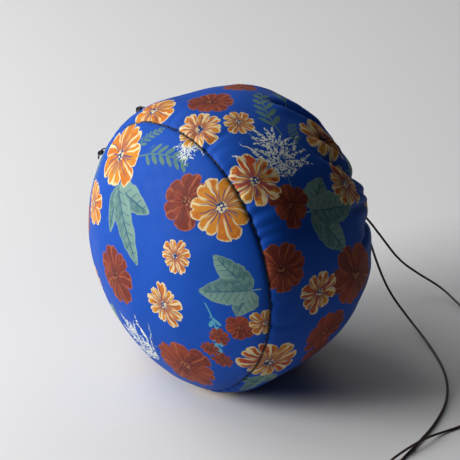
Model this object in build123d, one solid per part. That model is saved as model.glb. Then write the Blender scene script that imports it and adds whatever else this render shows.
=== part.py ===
"""A stuffed fabric ball, closed by a drawcord, lying on its side.

The ball's own axis is X: the round end panel faces -X and the gathered mouth faces +X.
Z = 0 is the surface that the ball rests on. The origin is on that surface, halfway along the ball.
Everything is in millimetres.
"""
import math
import os

from build123d import *

# ---- The ball's outside
BALL_RADIUS = 60.0          # widest round, square to the axis
END_DEPTH = 38.5            # from the widest round to the crown of the end panel
MOUTH_DEPTH = 58.8          # from the widest round to the gathered mouth
END_POWER = 2.0             # profile of the end side: 2 is a plain ellipse
SIDE_POWER = 2.8            # profile of the side wall: over 2 is fuller at the shoulder
REST_FLAT = 1.5             # how far the stuffing gives where the ball rests
OUTLINE_STEPS = 9           # spans of each half of the profile

# ---- Cover
CLOTH = 0.5                 # thickness of the printed cloth
SEAM_FROM_WIDEST = 14.6     # the round seam lies this far towards the end panel
SEAM_FOLD = 1.0             # width of the fold where each panel turns in at the seam
SEAM_ALLOWANCE = 8.0        # cloth turned in past the seam

# ---- Hem round the mouth, bunched by the drawcord
HEM_OUTER_RADIUS = 10.0
HEM_HOLE_RADIUS = 3.5
HEM_SINK = 1.4              # how far its inner end lies below the mouth's surface
HEM_PROUD = 7.7             # how far it stands out of the mouth
HEM_ROUNDING = 1.8
TUNNEL_RADIUS = 1.0         # the channel that holds the cord
EXIT_RADIUS = 0.8           # the holes that its two ends leave by
TUNNEL_RING_RADIUS = 6.8

# ---- Cord
CORD_RADIUS = 0.5
CORD_EXIT_SPREAD = 2.2      # each tail leaves this far from the ball's middle plane
CORD_SETBACK = 5.0          # from the front of the hem back to the cord's ring
RING_STEP = 40.0            # degrees between the corners of the cord's ring
RUN_SHARE = 0.45            # share of the shorter run that each bend takes

# ---- Thread
STITCH_RADIUS = 0.3
STITCH_LENGTH = 1.7
STITCH_PITCH = 2.5
GROOVE_RADIUS = 0.4         # the thread lies in a groove along the round seam
GROOVE_SINK = 0.1
SIDE_GROOVE_DEPTH = 0.3
SIDE_GROOVE_WIDTH = 0.8
SIDE_STITCH_WIDTH = 0.6
SIDE_SEAM_TURN = 110.0      # where the side wall is joined, in degrees about X from +Z
TIE_KNOT_RADIUS = 1.2
TIE_KNOT_GAP = 0.02
TIE_KNOTS = [(-2.5, 59.0), (10.5, 37.0)]    # mm from the seam along X, degrees about X from +Z

# ---- Inner bag and what fills it
BAG_INSET = 1.7             # from the ball's outside to the inner bag
BAG_CLOTH = 0.4
BAG_SEAM_OFFSET = -6.0      # the inner bag's seam from the cover's, along X
BAG_STITCH_RADIUS = 0.25
BAG_STITCH_PITCH = 3.4

# ---- Knot that ties the two tails together
KNOT_FACE = (-18.0, -103.65, 2.0)   # middle of the face that the tails go into
KNOT_RADIUS = 2.0
KNOT_LENGTH = 5.0
KNOT_END_LENGTH = 6.0       # the cord's two cut ends beyond the knot
KNOT_END_SPREAD = 0.8

# ---- Places worked out from the sizes above
HEM_FRONT = MOUTH_DEPTH + HEM_PROUD
WIDEST_X = (END_DEPTH - HEM_FRONT) / 2
AXIS_Z = BALL_RADIUS - REST_FLAT
SEAM_X = WIDEST_X - SEAM_FROM_WIDEST
MOUTH_X = WIDEST_X + MOUTH_DEPTH
HEM_FRONT_X = WIDEST_X + HEM_FRONT
RING_X = HEM_FRONT_X - CORD_SETBACK
EXIT_DROP = math.sqrt(TUNNEL_RING_RADIUS ** 2 - CORD_EXIT_SPREAD ** 2)
EXIT_Z = AXIS_Z - EXIT_DROP
FAR = 300.0                 # larger than the whole ball

# ---- Routes of the two tails, from the hem to the knot
LONG_TAIL = [
    (HEM_FRONT_X, CORD_EXIT_SPREAD, EXIT_Z),
    (58.0, CORD_EXIT_SPREAD, EXIT_Z),
    (65.0, 1.6, 50.0),
    (72.5, 0.0, 42.0),
    (80.0, -3.0, 30.0),
    (87.5, -6.5, 17.5),
    (96.5, -10.5, 9.0),
    (101.0, -19.0, 5.0),
    (99.5, -32.0, 2.5),
    (97.0, -47.0, 0.5),
    (91.0, -62.5, 0.5),
    (81.5, -77.5, 0.5),
    (68.5, -90.0, 0.5),
    (52.0, -97.0, 0.5),
    (36.0, -97.5, 0.5),
    (25.0, -95.5, 0.7),
    (16.0, -96.0, 2.2),
    (4.0, -97.0, 2.2),
    (-4.0, -97.5, 1.0),
    (-9.0, -100.5, 0.9),
    (-13.0, -103.0, 2.4),
    (-18.0, -103.0, 2.4),
]
SHORT_TAIL = [
    (HEM_FRONT_X, -CORD_EXIT_SPREAD, EXIT_Z),
    (58.0, -CORD_EXIT_SPREAD, EXIT_Z),
    (64.5, -3.0, 48.0),
    (69.0, -6.0, 36.0),
    (71.0, -10.0, 23.0),
    (72.0, -17.0, 12.0),
    (71.5, -29.0, 5.5),
    (68.0, -46.0, 1.2),
    (59.5, -64.0, 0.5),
    (46.0, -79.5, 0.5),
    (29.0, -89.5, 0.5),
    (13.0, -95.2, 0.5),
    (1.0, -99.2, 0.5),
    (-7.0, -102.2, 0.6),
    (-12.5, -104.3, 1.4),
    (-18.0, -104.3, 1.4),
]


def save(shape, name):
    """Write one named sub-part."""
    export_step(shape, f"parts/{name}.step")
    print(f"{name}: volume {shape.volume:.1f}, solids {len(shape.solids())}")


def outline_point(turn, depth, power, inset):
    """A point of the profile, from the pole at 0 to the widest round at 90 degrees."""
    along = (depth - inset) * math.cos(turn) ** (2 / power)
    out = (BALL_RADIUS - inset) * math.sin(turn) ** (2 / power)
    return along, out


def outline(depth, power, inset):
    """Points of one half of the profile, pole first."""
    turns = [math.pi / 2 * step / OUTLINE_STEPS for step in range(1, OUTLINE_STEPS)]
    inner = [outline_point(turn, depth, power, inset) for turn in turns]
    return [(depth - inset, 0)] + inner + [(0, BALL_RADIUS - inset)]


def ball_body(inset):
    """The ball's outside, moved inwards by inset, with its flat where it rests."""
    end_points = [(-along, out) for along, out in outline(END_DEPTH, END_POWER, inset)]
    mouth_points = list(reversed(outline(MOUTH_DEPTH, SIDE_POWER, inset)))
    end_curve = Spline(*end_points, tangents=[(0, 1), (1, 0)])
    mouth_curve = Spline(*mouth_points, tangents=[(1, 0), (0, -1)])
    chord = Line(mouth_points[-1], end_points[0])
    half = make_face([end_curve, mouth_curve, chord])
    body = Pos(WIDEST_X, 0, AXIS_Z) * revolve(half, Axis.X, 360)
    return body - Pos(0, 0, inset - FAR / 2) * Box(FAR, FAR, FAR)


def slab(low_x, high_x):
    """Everything between two planes square to the axis."""
    return Pos((low_x + high_x) / 2, 0, 0) * Box(high_x - low_x, FAR, FAR)


def seam_radius(x, inset=0.0):
    """The ball's radius at a place on the end side of the widest round."""
    share = abs(x - WIDEST_X) / (END_DEPTH - inset)
    return (BALL_RADIUS - inset) * (1 - share ** END_POWER) ** (1 / END_POWER)


def about_axis(turn):
    """A place on the ball's axis, turned about it. Zero puts its Y side up."""
    return Pos(WIDEST_X, 0, AXIS_Z) * Rot(90 - turn, 0, 0)


def round_stitches(x, radius, stitch_radius, pitch):
    """A ring of straight stitches round the axis."""
    count = round(2 * math.pi * radius / pitch)
    stitch = Pos(x - WIDEST_X, radius, 0) * Cylinder(stitch_radius, STITCH_LENGTH)
    return [about_axis(360 / count * step) * stitch for step in range(count)]


def rounded_path(points):
    """Straight runs joined by arcs as large as the runs beside them allow."""
    radii = []
    for before, corner, after in zip(points, points[1:], points[2:]):
        arriving = Vector(*corner) - Vector(*before)
        leaving = Vector(*after) - Vector(*corner)
        half_turn = math.radians(arriving.get_angle(leaving)) / 2
        shorter = min(arriving.length, leaving.length)
        radii.append(RUN_SHARE * shorter / math.tan(half_turn))
    return FilletPolyline(*points, radius=radii), radii


def cord_tube(points, name):
    """A cord along a route, with its bends and its volume printed."""
    path, radii = rounded_path(points)
    start = Plane(origin=path @ 0, z_dir=path % 0)
    tube = sweep(start * Circle(CORD_RADIUS), path=path)
    expected = math.pi * CORD_RADIUS ** 2 * path.length
    print(f"{name}: length {path.length:.1f}, volume over section x length {tube.volume / expected:.4f}")
    print(f"{name}: bend radii", [round(radius, 1) for radius in radii])
    return tube


os.makedirs("parts", exist_ok=True)

# ---- Nested bodies that the shells are cut from
outside = ball_body(0)
under_cover = ball_body(CLOTH)
under_side_allowance = ball_body(2 * CLOTH)
under_end_allowance = ball_body(3 * CLOTH)
bag_outside = ball_body(BAG_INSET)
filling = ball_body(BAG_INSET + BAG_CLOTH)

end_side = slab(SEAM_X - FAR, SEAM_X)
mouth_side = slab(SEAM_X, SEAM_X + FAR)
cover_shell = outside - under_cover

# ---- Groove that the round seam's thread lies in
groove_ring = Torus(seam_radius(SEAM_X) - GROOVE_SINK, GROOVE_RADIUS)
seam_groove = Pos(SEAM_X, 0, AXIS_Z) * Rot(0, 90, 0) * groove_ring

# ---- End panel: the domed round, and its edge turned in behind the side wall
end_dome = cover_shell & end_side
end_fold = (outside - under_end_allowance) & slab(SEAM_X - SEAM_FOLD, SEAM_X)
end_allowance_zone = slab(SEAM_X - SEAM_FOLD, SEAM_X + SEAM_ALLOWANCE)
end_allowance = (under_side_allowance - under_end_allowance) & end_allowance_zone
end_panel = end_dome + end_fold + end_allowance - seam_groove

# ---- Side wall: its tube, and its own edge turned in
side_wall = cover_shell & mouth_side
side_allowance_zone = slab(SEAM_X, SEAM_X + SEAM_ALLOWANCE)
side_allowance = (under_cover - under_side_allowance) & side_allowance_zone
mouth_hole = Pos(MOUTH_X, 0, AXIS_Z) * Rot(0, 90, 0) * Cylinder(HEM_OUTER_RADIUS, 2 * HEM_OUTER_RADIUS)
side_panel = side_wall + side_allowance - seam_groove - mouth_hole

# ---- Lengthwise join of the side wall: a shallow groove and the stitches in it
groove_layer = outside - ball_body(SIDE_GROOVE_DEPTH)
side_plane = about_axis(SIDE_SEAM_TURN)
groove_start = SEAM_X + 2 * SEAM_FOLD - WIDEST_X
side_slot = Pos(groove_start + FAR / 2, FAR / 2, 0) * Box(FAR, FAR, SIDE_GROOVE_WIDTH)
side_groove = groove_layer & (side_plane * side_slot)
side_panel = side_panel - side_groove

side_points = outline(MOUTH_DEPTH, SIDE_POWER, 0)
side_curve = Spline(*side_points[::-1], tangents=[(1, 0), (0, -1)])
side_stitch = Box(STITCH_LENGTH, 2 * BALL_RADIUS / 50, SIDE_STITCH_WIDTH)
stitch_count = int((side_curve.length - HEM_OUTER_RADIUS) / STITCH_PITCH)
side_boxes = []
for step in range(stitch_count):
    place = (step + 0.5) * STITCH_PITCH / side_curve.length
    point = side_curve @ place
    slope = math.degrees(math.atan2((side_curve % place).Y, (side_curve % place).X))
    side_boxes.append(side_plane * Pos(point.X, point.Y, 0) * Rot(0, 0, slope) * side_stitch)
side_thread = groove_layer & Compound(children=side_boxes)

# ---- Hem: a bunched collar round the mouth, with the cord's channel in it
hem_length = HEM_PROUD + HEM_SINK
hem_middle_x = HEM_FRONT_X - hem_length / 2
hem = Cylinder(HEM_OUTER_RADIUS, hem_length) - Cylinder(HEM_HOLE_RADIUS, hem_length)
hem = fillet(hem.edges().group_by(Axis.Z)[-1], HEM_ROUNDING)
hem = Pos(hem_middle_x, 0, AXIS_Z) * Rot(0, 90, 0) * hem
tunnel = Pos(RING_X, 0, AXIS_Z) * Rot(0, 90, 0) * Torus(TUNNEL_RING_RADIUS, TUNNEL_RADIUS)
exit_bore = Rot(0, 90, 0) * Cylinder(EXIT_RADIUS, CORD_SETBACK)
exit_x = HEM_FRONT_X - CORD_SETBACK / 2
exits = [Pos(exit_x, side * CORD_EXIT_SPREAD, EXIT_Z) * exit_bore for side in (-1, 1)]
mouth_hem = hem - tunnel - exits[0] - exits[1]

# ---- The cord's ring inside the hem, with both ends turned out through it
corner_radius = TUNNEL_RING_RADIUS / math.cos(math.radians(RING_STEP / 2))
ring_corners = []
for step in range(1, int(360 / RING_STEP)):
    turn = math.radians(RING_STEP * step)
    corner_y = corner_radius * math.sin(turn)
    corner_z = AXIS_Z - corner_radius * math.cos(turn)
    ring_corners.append((RING_X, corner_y, corner_z))
ring_route = [(HEM_FRONT_X, CORD_EXIT_SPREAD, EXIT_Z), (RING_X, CORD_EXIT_SPREAD, EXIT_Z)]
ring_route += ring_corners
ring_route += [(RING_X, -CORD_EXIT_SPREAD, EXIT_Z), (HEM_FRONT_X, -CORD_EXIT_SPREAD, EXIT_Z)]

# ---- Inner bag
bag_seam_x = SEAM_X + BAG_SEAM_OFFSET
bag_shell = bag_outside - filling
inner_bag_end = bag_shell & slab(bag_seam_x - FAR, bag_seam_x)
inner_bag_wall = bag_shell & slab(bag_seam_x, bag_seam_x + FAR)
bag_seam_radius = seam_radius(bag_seam_x, BAG_INSET)
bag_stitch_ring = bag_seam_radius + 1.5 * BAG_STITCH_RADIUS
bag_stitches = round_stitches(bag_seam_x, bag_stitch_ring, BAG_STITCH_RADIUS, BAG_STITCH_PITCH)

# ---- Stitches of the round seam
seam_ring = seam_radius(SEAM_X) - GROOVE_SINK
seam_stitches = round_stitches(SEAM_X, seam_ring, STITCH_RADIUS, STITCH_PITCH)

# ---- Two knots that tie off the seam's thread on the outside, each touching the cloth
tie_knots = []
for offset, turn in TIE_KNOTS:
    along = SEAM_X + offset - WIDEST_X
    out = seam_radius(SEAM_X + offset)
    outward = Vector(along / END_DEPTH ** 2, out / BALL_RADIUS ** 2, 0).normalized()
    centre = Vector(along, out, 0) + outward * (TIE_KNOT_RADIUS + TIE_KNOT_GAP)
    tie_knots.append(about_axis(turn) * Pos(centre) * Sphere(TIE_KNOT_RADIUS))

# ---- Knot of the two tails, and the cut ends beyond it
end_knot = Cylinder(KNOT_RADIUS, KNOT_LENGTH)
end_knot = fillet(end_knot.edges(), KNOT_RADIUS / 3)
end_reach = KNOT_LENGTH / 2 + KNOT_END_LENGTH / 2
for side in (-1, 1):
    cut_end = Cylinder(CORD_RADIUS, KNOT_END_LENGTH + CORD_RADIUS)
    end_knot += Pos(0, side * KNOT_END_SPREAD, end_reach - CORD_RADIUS / 2) * cut_end
knot_x, knot_y, knot_z = KNOT_FACE
end_knot = Pos(knot_x - KNOT_LENGTH / 2, knot_y, knot_z) * Rot(0, -90, 0) * end_knot

# ---- Files
save(end_panel, "end_panel")
save(side_panel, "side_panel")
save(mouth_hem, "mouth_hem")
save(Compound(children=seam_stitches), "end_seam_thread")
save(side_thread, "side_seam_thread")
save(Compound(children=tie_knots), "thread_tie_knots")
save(cord_tube(ring_route, "drawcord_in_hem"), "drawcord_in_hem")
save(cord_tube(LONG_TAIL, "long_tail"), "drawcord_long_tail")
save(cord_tube(SHORT_TAIL, "short_tail"), "drawcord_short_tail")
save(end_knot, "drawcord_end_knot")
save(inner_bag_end, "inner_bag_end")
save(inner_bag_wall, "inner_bag_wall")
save(Compound(children=bag_stitches), "inner_bag_thread")
save(filling, "filling")
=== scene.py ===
"""A stuffed printed-cloth ball with a drawcord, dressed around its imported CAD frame.

The ball's axis is X: the round end panel faces -X and the gathered mouth faces +X. Z = 0 is the floor.
All lengths are in metres, apart from the print's layout, which is in millimetres of flat cloth.
"""
import math

import bpy
import numpy as np
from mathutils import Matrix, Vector


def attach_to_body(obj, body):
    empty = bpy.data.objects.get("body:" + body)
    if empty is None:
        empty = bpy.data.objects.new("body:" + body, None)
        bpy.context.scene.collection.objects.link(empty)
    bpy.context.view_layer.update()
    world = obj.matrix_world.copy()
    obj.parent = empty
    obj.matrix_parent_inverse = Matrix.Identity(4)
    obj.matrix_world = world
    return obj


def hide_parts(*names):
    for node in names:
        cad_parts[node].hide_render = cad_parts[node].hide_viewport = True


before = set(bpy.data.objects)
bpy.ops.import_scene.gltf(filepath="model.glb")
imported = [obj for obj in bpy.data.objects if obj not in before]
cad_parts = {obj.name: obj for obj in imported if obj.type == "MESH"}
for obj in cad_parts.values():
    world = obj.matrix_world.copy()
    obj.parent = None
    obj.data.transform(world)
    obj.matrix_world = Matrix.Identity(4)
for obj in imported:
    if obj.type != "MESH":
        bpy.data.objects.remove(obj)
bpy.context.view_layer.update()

# ---- sizes shared with the CAD source
BALL_RADIUS = 0.060
END_DEPTH = 0.0385
MOUTH_DEPTH = 0.0588
END_POWER = 2.0
SIDE_POWER = 2.8
SEAM_FROM_WIDEST = 0.0146
WIDEST_X = -0.014
AXIS_Z = 0.0585
HEM_OUTER_RADIUS = 0.010
HEM_FRONT_X = 0.0525
CORD_DIAMETER = 0.001
CORD_EXIT_SPREAD = 0.0022
TUNNEL_RING_RADIUS = 0.0068
EXIT_Z = AXIS_Z - math.sqrt(TUNNEL_RING_RADIUS ** 2 - CORD_EXIT_SPREAD ** 2)
SIDE_SEAM_TURN = math.radians(110)
FLOOR_GAP = 0.0001           # how far above the floor the cover's lowest cloth lies

# ---- camera
VIEW_TURN = math.radians(-39.9)
VIEW_RISE = math.radians(28.5)
VIEW_DISTANCE = 0.900
VIEW_ANGLE = math.radians(11.64)
AIM_RIGHT = 0.00905          # the view's middle, from the ball's middle
AIM_UP = 0.0059

to_camera = Vector((
    math.sin(VIEW_TURN) * math.cos(VIEW_RISE),
    -math.cos(VIEW_TURN) * math.cos(VIEW_RISE),
    math.sin(VIEW_RISE),
))
view_right = Vector((math.cos(VIEW_TURN), math.sin(VIEW_TURN), 0))
view_up = to_camera.cross(view_right)
ball_middle = Vector((WIDEST_X, 0, AXIS_Z))
aim = ball_middle + AIM_RIGHT * view_right + AIM_UP * view_up

camera_data = bpy.data.cameras.new("camera")
camera_data.angle = VIEW_ANGLE
camera_data.clip_start = 0.05
camera = bpy.data.objects.new("camera", camera_data)
camera.location = aim + VIEW_DISTANCE * to_camera
camera.rotation_euler = to_camera.to_track_quat("Z", "Y").to_euler()
bpy.context.scene.collection.objects.link(camera)
bpy.context.scene.camera = camera

# ---- the cord's two tails
LONG_TAIL = [
    (HEM_FRONT_X, CORD_EXIT_SPREAD, EXIT_Z), (0.0580, CORD_EXIT_SPREAD, EXIT_Z), (0.0650, 0.0016, 0.0500),
    (0.0725, 0.0000, 0.0420), (0.0800, -0.0030, 0.0300), (0.0875, -0.0065, 0.0175),
    (0.0965, -0.0105, 0.0090), (0.1010, -0.0190, 0.0050), (0.0995, -0.0320, 0.0025),
    (0.0970, -0.0470, 0.0005), (0.0910, -0.0625, 0.0005), (0.0815, -0.0775, 0.0005),
    (0.0685, -0.0900, 0.0005), (0.0520, -0.0970, 0.0005), (0.0360, -0.0975, 0.0005),
    (0.0250, -0.0955, 0.0007), (0.0160, -0.0960, 0.0022), (0.0040, -0.0970, 0.0022),
    (-0.0040, -0.0975, 0.0010), (-0.0090, -0.1005, 0.0009), (-0.0130, -0.1030, 0.0024),
    (-0.0180, -0.1030, 0.0024),
]
SHORT_TAIL = [
    (HEM_FRONT_X, -CORD_EXIT_SPREAD, EXIT_Z), (0.0580, -CORD_EXIT_SPREAD, EXIT_Z), (0.0645, -0.0030, 0.0480),
    (0.0690, -0.0060, 0.0360), (0.0710, -0.0100, 0.0230), (0.0720, -0.0170, 0.0120),
    (0.0715, -0.0290, 0.0055), (0.0680, -0.0460, 0.0012), (0.0595, -0.0640, 0.0005),
    (0.0460, -0.0795, 0.0005), (0.0290, -0.0895, 0.0005), (0.0130, -0.0952, 0.0005),
    (0.0010, -0.0992, 0.0005), (-0.0070, -0.1022, 0.0006), (-0.0125, -0.1043, 0.0014),
    (-0.0180, -0.1043, 0.0014),
]


def curve_piece(name, routes, radius, steps, roundness):
    """Round strands along routes, as one curve object with a NURBS spline for each."""
    data = bpy.data.curves.new(name, "CURVE")
    data.dimensions = "3D"
    data.resolution_u = steps
    data.bevel_depth = radius
    data.bevel_resolution = roundness
    data.use_fill_caps = True
    for route in routes:
        spline = data.splines.new("NURBS")
        spline.points.add(len(route) - 1)
        for point, place in zip(spline.points, route):
            point.co = (*place, 1)
        spline.order_u = 3
        spline.use_endpoint_u = True
    piece = bpy.data.objects.new(name, data)
    bpy.context.scene.collection.objects.link(piece)
    return piece


# ---- the ball's profile
PROFILE_SAMPLES = 3000


def profile_half(depth, power):
    """Places along the axis and radii, from the pole to the widest round, and the arc length there."""
    turns = np.linspace(0, math.pi / 2, PROFILE_SAMPLES)
    along = depth * np.cos(turns) ** (2 / power)
    out = BALL_RADIUS * np.sin(turns) ** (2 / power)
    arc = np.concatenate([[0], np.cumsum(np.hypot(np.diff(along), np.diff(out)))])
    return along, out, arc


end_along, end_out, end_arc = profile_half(END_DEPTH, END_POWER)
mouth_along, mouth_out, mouth_arc = profile_half(MOUTH_DEPTH, SIDE_POWER)
SEAM_ARC = float(np.interp(-SEAM_FROM_WIDEST, -end_along, end_arc))     # from the crown
SEAM_TO_WIDEST = end_arc[-1] - SEAM_ARC
hem_arc = float(np.interp(HEM_OUTER_RADIUS, mouth_out, mouth_arc))
SIDE_LENGTH = SEAM_TO_WIDEST + mouth_arc[-1] - hem_arc                  # from the seam to the hem


def end_profile(arc):
    """X and radius of the end panel at an arc length from its crown."""
    x = WIDEST_X - np.interp(arc, end_arc, end_along)
    return x, np.interp(arc, end_arc, end_out)


def side_profile(arc):
    """X and radius of the side wall at an arc length from the seam."""
    before = arc < SEAM_TO_WIDEST
    end_part = SEAM_ARC + arc
    mouth_part = mouth_arc[-1] - (arc - SEAM_TO_WIDEST)
    along = np.where(
        before,
        -np.interp(end_part, end_arc, end_along),
        np.interp(mouth_part, mouth_arc, mouth_along),
    )
    out = np.where(
        before,
        np.interp(end_part, end_arc, end_out),
        np.interp(mouth_part, mouth_arc, mouth_out),
    )
    return WIDEST_X + along, out


# ---- puckers, pleats and sag
COLUMNS = 440                # points round the ball
SEAM_GAP = 0.00008           # from the seam's middle to each panel's edge
SEAM_DIP = 0.0011            # depth of the valley along the round seam
SEAM_DIP_WIDTH = 0.0006
SEAM_LIP = 0.00028           # how far the stuffing swells the cloth beside the seam
SEAM_LIP_WIDTH = 0.0045
PUCKERS = 70
SIDE_PUCKER = 0.0017
SIDE_PUCKER_REACH = 0.0050
END_PUCKER = 0.00030
END_PUCKER_REACH = 0.0024
TURNED_IN = [0.0007, 0.0016, 0.0028]    # depths of the rings that turn in at the seam
RIDGE = 0.0020               # how far the pleats' ridges stand out at the mouth
RIDGE_START = 0.045          # arc from the seam where the ridges begin
SIDE_INTO_HEM = 0.0075       # radius where the side wall ends, inside the hem

# Valleys of the side wall's pleats: degrees round the ball, start and depth in mm, and lean in degrees.
PLEATS = [
    (-12, 52, 3.4, -9), (-34, 55, 4.0, 4), (-52, 50, 2.4, 6), (-73, 46, 2.6, -5), (-92, 58, 2.6, 6),
    (-112, 50, 2.2, -6), (-133, 56, 2.8, 5), (-155, 48, 2.2, 4), (-176, 57, 2.9, -5), (163, 52, 2.3, 6),
    (142, 58, 3.1, -4), (122, 47, 2.2, 5), (101, 56, 2.8, -6), (80, 50, 2.2, 4), (59, 58, 3.0, 5),
    (38, 49, 2.2, -5), (14, 57, 2.8, 6),
]
PLEAT_RISE = 20.0            # mm over which a valley reaches its depth
PLEAT_SHARE = 0.24           # a valley's half width as a share of the pitch there
PLEAT_WIDEST = 2.3           # mm, at most
PLEAT_LEAN_LENGTH = 60       # mm over which a valley leans by the degrees given

# Single creases of the side wall: where each starts and ends on the cloth in mm, depth and half width in mm.
CREASES = [
    (-9, 43, -25, 60, 4.2, 2.0), (-31, 50, -41, 58, 4.0, 1.5), (-40, 44, -52, 60, 1.8, 1.8),
    (-66, 48, -68, 66, 1.1, 1.6), (-82, 50, -80, 64, 1.2, 1.4), (-58, 60, -64, 72, 2.2, 1.4),
    (20, 44, 8, 58, 1.8, 1.8), (62, 40, 54, 60, 1.6, 1.8), (118, 46, 126, 64, 2.0, 1.7),
    (-150, 44, -158, 62, 1.8, 1.8),
]

# Where the stuffing lies unevenly: unit direction from the ball's middle, reach and height in metres.
SAGS = [
    ((0.10, -0.80, -0.59), 0.024, -0.0014), ((-0.30, -0.42, -0.86), 0.022, 0.0012),
    ((0.42, -0.05, 0.91), 0.026, 0.0009), ((0.62, -0.74, 0.24), 0.018, -0.0008),
    ((0.35, 0.72, 0.60), 0.024, -0.0010), ((0.10, 0.88, -0.46), 0.022, 0.0009),
]
SAG_DISTANCE = 0.055         # from the ball's middle to a sag's own


def wrapped(turns):
    """Angles brought to between minus and plus half a turn."""
    return (turns + math.pi) % (2 * math.pi) - math.pi


def seam_shape(distance, turns, pucker, reach, seed):
    """The valley along the round seam, the swell beside it, and short valleys square to it."""
    draws = np.random.default_rng(seed)
    spacing = 2 * math.pi / PUCKERS
    places = (np.arange(PUCKERS) + draws.uniform(-0.33, 0.33, PUCKERS)) * spacing
    widths = draws.uniform(0.17, 0.34, PUCKERS) * spacing
    depths = pucker * draws.uniform(0.1, 1.0, PUCKERS) ** 1.4
    reaches = reach * draws.uniform(0.5, 1.6, PUCKERS)
    valleys = depths * np.exp(-(wrapped(turns[:, None] - places) / widths) ** 2)
    fade = np.exp(-distance[:, None] / reaches)
    height = -np.einsum("tp,rp->rt", valleys, fade)
    swell = SEAM_LIP * distance / SEAM_LIP_WIDTH * np.exp(1 - distance / SEAM_LIP_WIDTH)
    dip = SEAM_DIP * np.exp(-distance / SEAM_DIP_WIDTH)
    return height + (swell - dip)[:, None]


def pleat_shape(turns, arc, radius):
    """Pleats that deepen towards the mouth: round ridges with narrow valleys between them."""
    arc_mm = 1000 * arc
    share = np.clip((arc - RIDGE_START) / (SIDE_LENGTH - RIDGE_START), 0, 1.1)
    height = (RIDGE * share ** 1.5)[:, None] * np.ones_like(turns)
    half_width = np.minimum(PLEAT_SHARE * 2 * math.pi * radius / len(PLEATS), PLEAT_WIDEST / 1000)
    for place, start, depth, lean in PLEATS:
        rise = np.clip((arc_mm - start) / PLEAT_RISE, 0, 1)
        rise = rise * rise * (3 - 2 * rise)
        line = math.radians(place) + math.radians(lean) * (arc_mm - start) / PLEAT_LEAN_LENGTH
        away = wrapped(turns[None, :] - line[:, None]) * radius[:, None]
        valley = np.exp(-np.abs(away / half_width[:, None]) ** 1.25)
        height -= depth / 1000 * rise[:, None] * valley
    return height


def crease_shape(turns, arc):
    """Straight creases that deepen and fade along their length, each with a slight swell beside it."""
    across = 1000 * BALL_RADIUS * wrapped(turns)[None, :]
    along = 1000 * arc[:, None]
    height = np.zeros((len(arc), len(turns)))
    for x0, y0, x1, y1, depth, half in CREASES:
        length = math.hypot(x1 - x0, y1 - y0)
        run = ((across - x0) * (x1 - x0) + (along - y0) * (y1 - y0)) / length
        off = ((across - x0) * (y1 - y0) - (along - y0) * (x1 - x0)) / length
        swell = 0.35 * np.exp(-((np.abs(off) - 2.2 * half) / (1.3 * half)) ** 2)
        fade = np.exp(-(np.maximum(np.abs(run - length / 2) - 0.3 * length, 0) / (0.22 * length)) ** 2)
        height += depth / 1000 * fade * (swell - np.exp(-np.abs(off / half) ** 1.3))
    return height


def crumple(places, seed, waves=26, size=0.00035):
    """Soft unevenness of the stuffing under the cloth, as a sum of plane waves of many lengths."""
    draws = np.random.default_rng(seed)
    height = np.zeros(places.shape[:2])
    for _ in range(waves):
        direction = draws.normal(size=3)
        direction /= np.linalg.norm(direction)
        length = draws.uniform(0.012, 0.055)
        phase = draws.uniform(0, 2 * math.pi)
        height += length / 0.04 * np.sin(2 * math.pi / length * (places @ direction) + phase)
    return size * height / math.sqrt(waves / 2)


def sag_shape(places):
    """Broad hollows and swellings of the whole ball."""
    height = np.zeros(places.shape[:2])
    middle = np.array([WIDEST_X, 0, AXIS_Z])
    for direction, reach, size in SAGS:
        spot = middle + SAG_DISTANCE * np.array(direction)
        height += size * np.exp(-np.sum((places - spot) ** 2, axis=2) / reach ** 2)
    return height


def grid_normals(places):
    """Unit normals of a closed ring grid, rings by columns, facing out."""
    across = np.roll(places, -1, axis=1) - np.roll(places, 1, axis=1)
    along = np.gradient(places, axis=0)
    normals = np.cross(along, across)
    normals /= np.maximum(np.linalg.norm(normals, axis=2, keepdims=True), 1e-12)
    outward = places - np.array([WIDEST_X, 0, AXIS_Z])
    return normals * np.where(np.sum(normals * outward, axis=2, keepdims=True) < 0, -1, 1)


def ring_grid(x, out, turns):
    """Places of a surface of revolution about the ball's axis. Turn 0 is up, and it grows towards +Y."""
    places = np.empty((len(x), len(turns), 3))
    places[:, :, 0] = x[:, None]
    places[:, :, 1] = out[:, None] * np.sin(turns)
    places[:, :, 2] = AXIS_Z + out[:, None] * np.cos(turns)
    return places


def rest_on_floor(places, gap=FLOOR_GAP):
    """A copy of a ring grid in which cloth that would pass below the floor lies on it."""
    soft = 0.0009
    rested = places.copy()
    rested[:, :, 2] = gap + soft * np.logaddexp(0, (places[:, :, 2] - gap) / soft)
    return rested


def ring_quads(rings, columns):
    """Quads of a closed ring grid, in ring order."""
    ring = np.arange(rings - 1)[:, None] * columns
    column = np.arange(columns)[None, :]
    after = (column + 1) % columns
    quads = np.stack([ring + column, ring + after, ring + columns + after, ring + columns + column], axis=2)
    return quads.reshape(-1, 4)


def mesh_piece(name, places, faces):
    """A new smooth mesh object from points and faces."""
    mesh = bpy.data.meshes.new(name)
    mesh.from_pydata(places.reshape(-1, 3).tolist(), [], [tuple(int(i) for i in face) for face in faces])
    mesh.update()
    mesh.shade_smooth()
    piece = bpy.data.objects.new(name, mesh)
    bpy.context.scene.collection.objects.link(piece)
    return piece


def fan(start, tip, turned=False):
    """Triangles that close the ring of points from start with the point tip."""
    column = start + np.arange(COLUMNS)
    after = np.roll(column, -1)
    pair = (column, after) if turned else (after, column)
    return np.stack([*pair, np.full(COLUMNS, tip)], axis=1)


turns = np.arange(COLUMNS) * 2 * math.pi / COLUMNS


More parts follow.
